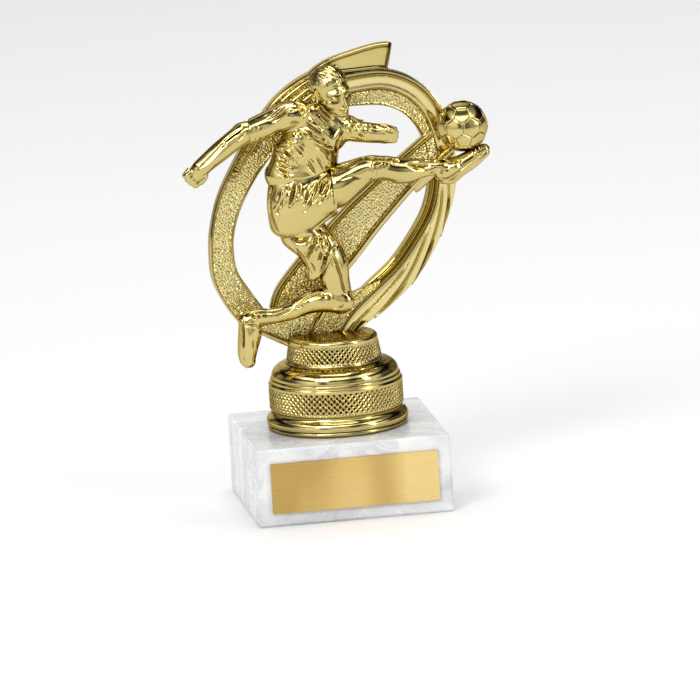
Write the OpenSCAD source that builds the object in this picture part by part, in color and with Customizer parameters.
// Football figure trophy: a metallised figure on a knurled riser, bolted to a
// marble block. Millimetres, +Z up. The origin is the centre of the block's
// underside, the player faces -Y, and the kicking leg points to +X.

/* [Marble block] */
// Side of the square block
block_w = 70; // [60:1:90]
// Height of the block
block_h = 28; // [26:1:36]
// Width of the polished bevel on every edge
block_bevel = 0.8; // [0.4:0.1:2]
// Radius of the stud hole through the block's top
stud_hole_r = 5.5; // [4:0.1:7]
// Radius of the recess for the nut
recess_r = 11; // [9:0.5:14]
// Height of the recess, up from the underside
recess_h = 18; // [17:0.5:18]

/* [Name plate] */
// Width of the plate
plate_w = 60; // [30:1:60]
// Height of the plate
plate_h = 18; // [8:0.5:20]
// Thickness of the metal
plate_t = 0.8; // [0.5:0.1:1.2]
// Thickness of the adhesive pad behind it
pad_t = 0.4; // [0.2:0.1:1]

/* [Fastening] */
// Radius over the stud's threads
stud_r = 2.95; // [2.94:0.01:2.98]
// How far the stud stands out under the riser
stud_out = 18; // [17:0.5:18]
// Width across the flats of both nuts
nut_af = 10; // [9:0.5:11]
// Height of the flange nut
nut_h = 6; // [5:0.5:7]
// Radius of the nut's flange
flange_r = 7.1; // [6.5:0.1:8]

/* [Riser] */
// Widest radius, at the rim
rim_r = 25.4; // [24.9:0.1:26]
// Radius of the knurled drum
drum_r = 24; // [23.5:0.1:24.2]
// Radius at the foot of the knurled neck
neck_r = 17.4; // [17:0.1:18]
// Height of the riser
riser_h = 33; // [33:1:34]
// Wall of the riser's mouldings
wall = 2; // [1.6:0.1:2.4]

/* [Figure] */
// Front of the ring's plane
ring_y = 1.5; // [1:0.1:2]
// Depth of the ring
ring_t = 6.5; // [5:0.5:8]
// Depth of the banner that crosses the ring
banner_t = 4; // [3:0.5:5]
// Radius of the ball
ball_r = 9.3; // [9:0.1:9.5]
// Wall of the hollow ball
ball_wall = 1.6; // [1:0.1:2.5]

/* [Hidden] */
$fn = 96;

gold = [0.86, 0.68, 0.32];
thread_gap = 0.05;            // radial play of the stud in both nuts
nut_bore_r = stud_r + thread_gap;
anchor_z = 4;                 // underside of the captive nut, above the riser's bottom
anchor_h = 5;
stud_in = 13;                 // length of the stud inside the riser
rim_h = 6.2;                  // height of the rim moulding
drum_top = 17;                // top of the drum's straight wall
shoulder_top = 23.6;          // where the shoulder meets the neck
neck_top_r = 12.6;            // radius of the neck's flat top
core_r = 9;                   // radius of the boss round the captive nut
split_y = -7;                 // plane where the player's two shells meet
limb_fn = 14;                 // facets round a limb

// Ring and banner: points [x, z, width] along the middle of each band, with z
// measured from the riser's bottom. A smooth curve runs through them.
left_band = [
    [-24.6, 37.3, 8.4], [-27.2, 39.8, 9.8], [-32.6, 47.7, 10.4], [-36.8, 56.1, 9.5], [-37.6, 65, 8.7], [-36.8, 73, 8.6],
    [-33.6, 83.1, 9.1], [-27.4, 94.2, 9.8], [-19.7, 104.7, 11.4], [-10.4, 114.6, 13],
    [-0.3, 121.6, 11.8], [9, 126, 7]
];
right_band = [
    [4, 119, 10.6], [14, 120, 12], [24.5, 119.6, 12.9], [33, 115.7, 12.5], [38.9, 108.8, 11.7],
    [42.2, 100, 10.6], [43.1, 91, 10.4], [42.7, 82, 9.9], [39.5, 72, 9.6], [33.8, 61.9, 10.6],
    [26.6, 52.5, 11.2], [17.5, 44.7, 11.4], [9.4, 38.6, 9.8], [3.5, 32.5, 8]
];
banner_band = [
    [44.5, 99.4, 11.6], [31, 88.9, 12.2], [15.7, 75.3, 14.7], [6.1, 65.5, 16.2], [-3.9, 54.9, 17.2],
    [-9.7, 45.9, 20.3], [-13, 39.4, 19.2]
];

// Player: [x, y, z, radius] of each joint, with z from the riser's bottom.
neck = [1.6, -7.5, 113, 3.6];
shoulder_r = [-10.5, -6.5, 114, 4.6];
elbow_r = [-28.6, -9, 110.4, 3.7];
wrist_r = [-43, -11, 100.7, 2.3];
fist_r = [-47, -11.5, 97.2, 3.9];
shoulder_l = [6.6, -8.5, 109.2, 4.8];
elbow_l = [17, -11, 106.8, 4.2];
fist_l = [25.2, -11.5, 106.2, 3];
chest = [-2.8, -7, 105.5, 8.6];
ribs = [-9.6, -6.8, 102, 8];
waist = [-7.8, -6.5, 92.5, 8];
flank = [-12, -6.5, 94.5, 8.2];
hip_kick = [-3, -8, 86.5, 9];
crotch = [-2, -8, 79, 8.4];
knee_kick = [16.6, -12, 92.6, 4.6];
calf_kick = [24.5, -11.5, 91.2, 4.8];
ankle_kick = [38.4, -9.8, 91, 2.7];
heel_kick = [43, -9.2, 90, 3.6];
toe_kick = [56.6, -8.6, 95.2, 2.3];
hip_stand = [-12.4, -6, 81.5, 8.9];
shorts_stand = [-4.6, -7, 66, 8];
hem_stand = [-2.5, -7.5, 61, 7.2];
thigh_stand = [1.4, -7.8, 56.5, 5];
knee_stand = [2.6, -8.4, 46, 4.4];
calf_stand = [-9.5, -7.8, 45.2, 4.3];
ankle_stand = [-24.6, -7, 41.6, 2.9];
heel_stand = [-30.6, -7, 42.6, 3.4];
sole_stand = [-31, -7.4, 35, 4.2];
toe_stand = [-32.3, -8, 27.4, 2.9];
head_centre = [3.2, -8.4, 122.3];
head_half = [6.6, 7.4, 10];   // half width, depth and height of the head
head_tilt = -14;              // lean of the head towards +X, degrees
ball_centre = [49.9, -7.2, 105.3];

function cubic(a, b, c, d, t) =
    0.5 * (2 * b + (c - a) * t + (2 * a - 5 * b + 4 * c - d) * t * t + (3 * b - a - 3 * c + d) * t * t * t);
function smooth(p, n) = [
    for (i = [0 : len(p) - 2], k = [0 : n - 1])
        cubic(p[max(i - 1, 0)], p[i], p[i + 1], p[min(i + 2, len(p) - 1)], k / n),
    p[len(p) - 1]
];
function side(c, i) =
    let (a = c[max(i - 1, 0)], b = c[min(i + 1, len(c) - 1)], d = [b[1] - a[1], a[0] - b[0]])
    d / norm(d);
function edge(c, s) = [for (i = [0 : len(c) - 1]) [c[i][0], c[i][1]] + s * c[i][2] / 2 * side(c, i)];
function flip(v) = [for (i = [len(v) - 1 : -1 : 0]) v[i]];
// An arc of a profile: centre, radius, first and last angle
function arc(cx, cz, r, a, b, n = 8) = [
    for (i = [0 : n]) let (t = a + (b - a) * i / n) [cx + r * cos(t), cz + r * sin(t)]
];

module band(points) {
    c = smooth(points, 6);
    polygon(concat(edge(c, 1), flip(edge(c, -1))));
}

// Stands a flat outline up in the XZ plane, from y to y + depth
module upright(y, depth) {
    translate([0, y + depth, 0]) rotate([90, 0, 0]) linear_extrude(depth) children();
}

module on_block() {
    translate([0, 0, block_h]) children();
}

// ---- Marble block, plate and fastening ----

module bevelled_square(a, b) {
    c = block_bevel;
    polygon([
        [-a + c, -b], [a - c, -b], [a, -b + c], [a, b - c],
        [a - c, b], [-a + c, b], [-a, b - c], [-a, -b + c]
    ]);
}

module marble_base() {
    w = block_w / 2;
    color("whitesmoke") difference() {
        intersection() {
            linear_extrude(block_h) bevelled_square(w, w);
            translate([0, w, block_h / 2]) rotate([90, 0, 0])
                linear_extrude(block_w) bevelled_square(w, block_h / 2);
            translate([-w, 0, block_h / 2]) rotate([90, 0, 90])
                linear_extrude(block_w) bevelled_square(w, block_h / 2);
        }
        translate([0, 0, -1]) cylinder(r = recess_r, h = recess_h + 1);
        translate([0, 0, recess_h - 1]) cylinder(r = stud_hole_r, h = block_h - recess_h + 2);
    }
}

module plate_adhesive() {
    color([0.45, 0.30, 0.16])
        translate([-plate_w / 2 + 0.3, -block_w / 2 - pad_t, (block_h - plate_h) / 2 + 0.3])
            cube([plate_w - 0.6, pad_t, plate_h - 0.6]);
}

module name_plate() {
    color([0.88, 0.72, 0.38])
        translate([-plate_w / 2, -block_w / 2 - pad_t - plate_t, (block_h - plate_h) / 2])
            cube([plate_w, plate_t, plate_h]);
}

module hexagon(h) {
    cylinder(r = nut_af / 2 / cos(30), h = h, $fn = 6);
}

module flange_nut() {
    flange_h = 1.2;
    cone_h = 1.1;
    chamfer = 0.5;
    color("silver") translate([0, 0, recess_h]) mirror([0, 0, 1]) difference() {
        union() {
            cylinder(r = flange_r, h = flange_h);
            translate([0, 0, flange_h]) cylinder(r1 = flange_r - 0.3, r2 = nut_af / 2, h = cone_h);
            intersection() {
                hexagon(nut_h);
                cylinder(r1 = nut_af / 2 / cos(30) + nut_h - chamfer, r2 = nut_af / 2 + 0.2, h = nut_h);
            }
        }
        translate([0, 0, -1]) cylinder(r = nut_bore_r, h = nut_h + 2);
    }
}

module threaded_stud() {
    tip = 1;
    color([0.62, 0.52, 0.28]) on_block() translate([0, 0, -stud_out]) {
        cylinder(r1 = stud_r - tip, r2 = stud_r, h = tip);
        translate([0, 0, tip]) cylinder(r = stud_r, h = stud_out + stud_in - tip);
    }
}

module anchor_nut() {
    color("silver") on_block() translate([0, 0, anchor_z]) difference() {
        hexagon(anchor_h);
        translate([0, 0, -1]) cylinder(r = nut_bore_r, h = anchor_h + 2);
    }
}

// ---- Riser ----

module riser_core() {
    core_h = 16;
    rib_t = 1.6;
    rib_l = drum_r - wall - core_r - 0.1;
    rib_z = rim_h + 1.1;
    color(gold) on_block() difference() {
        union() {
            cylinder(r = core_r, h = core_h);
            for (a = [30 : 60 : 330]) rotate([0, 0, a])
                translate([core_r - 1, -rib_t / 2, rib_z]) cube([rib_l + 1, rib_t, core_h - rib_z - 2]);
        }
        translate([0, 0, -1]) cylinder(r = 3.6, h = core_h + 2);
        translate([0, 0, -1]) hexagon(anchor_z + anchor_h + 1);
    }
}

module riser_rim() {
    inner = drum_r - wall - 1;
    color(gold) on_block() rotate_extrude() polygon(concat(
        [[inner, 0], [24.3, 0]],
        arc(rim_r - 2.6, 2.6, 2.6, -50, 55),
        [[23.6, 5.6], [23.4, rim_h], [inner, rim_h]]
    ));
}

module riser_drum() {
    color(gold) on_block() rotate_extrude() polygon(concat(
        [[drum_r - wall - 1, rim_h], [23.4, rim_h], [23.4, 7], [drum_r, 7.3], [drum_r, drum_top - 1.1]],
        [[23.4, drum_top - 0.6], [23, drum_top]],
        arc(17.6, 18.4, 5.2, 0, 62),
        [[19.4, 22.7], [17.5, shoulder_top], [17.5 - wall, shoulder_top], [17.5 - wall, 22]],
        arc(17.4, 18.2, 3.2, 70, 0),
        [[drum_r - wall - 1, drum_top], [drum_r - wall, drum_top - 1.5], [drum_r - wall, rim_h + 1]]
    ));
}

module riser_neck() {
    bead = 1.6;
    color(gold) on_block() rotate_extrude() polygon(concat(
        [[neck_r - wall, shoulder_top], [neck_r, shoulder_top], [16.1, 30]],
        arc(14.2, 31.4, bead, 10, 85),
        [[neck_top_r, riser_h], [0, riser_h], [0, riser_h - wall], [neck_top_r, riser_h - wall], [14, 30]]
    ));
}

// ---- Ring and banner ----

module ring_left() {
    color(gold) on_block() difference() {
        upright(ring_y, ring_t) difference() {
            band(left_band);
            band(right_band);
        }
        riser_space();
    }
}

module ring_right() {
    color(gold) on_block() difference() {
        upright(ring_y, ring_t) band(right_band);
        riser_space();
    }
}

// Everything below the neck's flat top
module riser_space() {
    translate([-60, -40, -1]) cube([120, 80, riser_h + 1]);
}

module fin_outline() {
    tip = [27.8, 135.8];
    polygon(concat(
        smooth([[-1.5, 127.6], [6, 131.6], [16, 134.4], tip], 5),
        smooth([[25.6, 125], [16, 125.6], [6, 123.6]], 5)
    ));
}

module ring_fin() {
    fin_t = ring_t - 2.5;
    color(gold) on_block() upright(ring_y + 1.5, fin_t) difference() {
        fin_outline();
        band(left_band);
        band(right_band);
    }
}

module banner() {
    color(gold) on_block() difference() {
        upright(ring_y + 0.5, banner_t) difference() {
            band(banner_band);
            band(left_band);
            band(right_band);
        }
        riser_space();
    }
}

// The webs that spread from the banner's foot to the ring, over the riser
module banner_foot() {
    color(gold) on_block() difference() {
        upright(ring_y + 0.5, banner_t) difference() {
            polygon([
                [-26, 34.4], [-26.4, 37], [-20.5, 44.5], [-10, 44],
                [8, 46], [12, 40], [8, riser_h], [-12, 29], [-15.8, 29.3]
            ]);
            band(banner_band);
            band(left_band);
            band(right_band);
        }
        translate([0, 0, -1]) cylinder(r = 17, h = riser_h + 1);
    }
}

// ---- Player and ball ----

module joint_ball(p) {
    translate([p[0], p[1], p[2]]) sphere(r = p[3], $fn = limb_fn);
}

// A limb that runs through a list of joints
module limb(points) {
    for (i = [0 : len(points) - 2]) hull() {
        joint_ball(points[i]);
        joint_ball(points[i + 1]);
    }
}

module trunk() {
    hull() { joint_ball(chest); joint_ball(ribs); joint_ball(waist); joint_ball(flank); }
    hull() { joint_ball(chest); joint_ball(shoulder_r); joint_ball(shoulder_l); joint_ball(neck); }
    hull() { joint_ball(waist); joint_ball(flank); joint_ball(hip_kick); joint_ball(hip_stand); }
}

module head() {
    hull() { joint_ball(neck); translate([2.6, -8, 117]) sphere(r = 3.6, $fn = limb_fn); }
    translate(head_centre) rotate([0, -head_tilt, 0]) scale(head_half) sphere(r = 1, $fn = 20);
}

module player_form() {
    trunk();
    head();
    limb([shoulder_r, elbow_r, wrist_r, fist_r]);
    limb([shoulder_l, elbow_l, fist_l]);
    hull() { joint_ball(crotch); joint_ball(hip_kick); joint_ball(knee_kick); }
    limb([knee_kick, calf_kick, ankle_kick, heel_kick, toe_kick]);
    hull() { joint_ball(hip_stand); joint_ball(crotch); joint_ball(shorts_stand); }
    limb([shorts_stand, hem_stand, thigh_stand, knee_stand, calf_stand, ankle_stand, heel_stand]);
    hull() { joint_ball(ankle_stand); joint_ball(heel_stand); joint_ball(sole_stand); }
    limb([sole_stand, toe_stand]);
}

// The hollow that the moulding's core leaves in the trunk
module trunk_hollow() {
    skin = 2.2;
    hull() for (p = [chest, ribs, waist, flank, hip_stand])
        translate([p[0], p[1], p[2]]) sphere(r = p[3] - skin, $fn = limb_fn);
}

module player_shell(y, depth) {
    color(gold) on_block() difference() {
        intersection() {
            player_form();
            translate([-60, y, 20]) cube([130, depth, 120]);
        }
        trunk_hollow();
        upright(ring_y, ring_t) { band(left_band); band(right_band); }
        upright(ring_y + 0.5, banner_t) band(banner_band);
    }
}

module player_front_shell() {
    player_shell(split_y - 20, 20);
}

module player_back_shell() {
    player_shell(split_y, 20);
}

module ball() {
    color(gold) on_block() difference() {
        translate(ball_centre) sphere(r = ball_r);
        translate(ball_centre) sphere(r = ball_r - ball_wall);
        upright(ring_y, ring_t) band(right_band);
        upright(ring_y + 0.5, banner_t) band(banner_band);
    }
}

marble_base();
plate_adhesive();
name_plate();
flange_nut();
threaded_stud();
anchor_nut();
riser_core();
riser_rim();
riser_drum();
riser_neck();
ring_left();
ring_right();
ring_fin();
banner();
banner_foot();
player_front_shell();
player_back_shell();
ball();
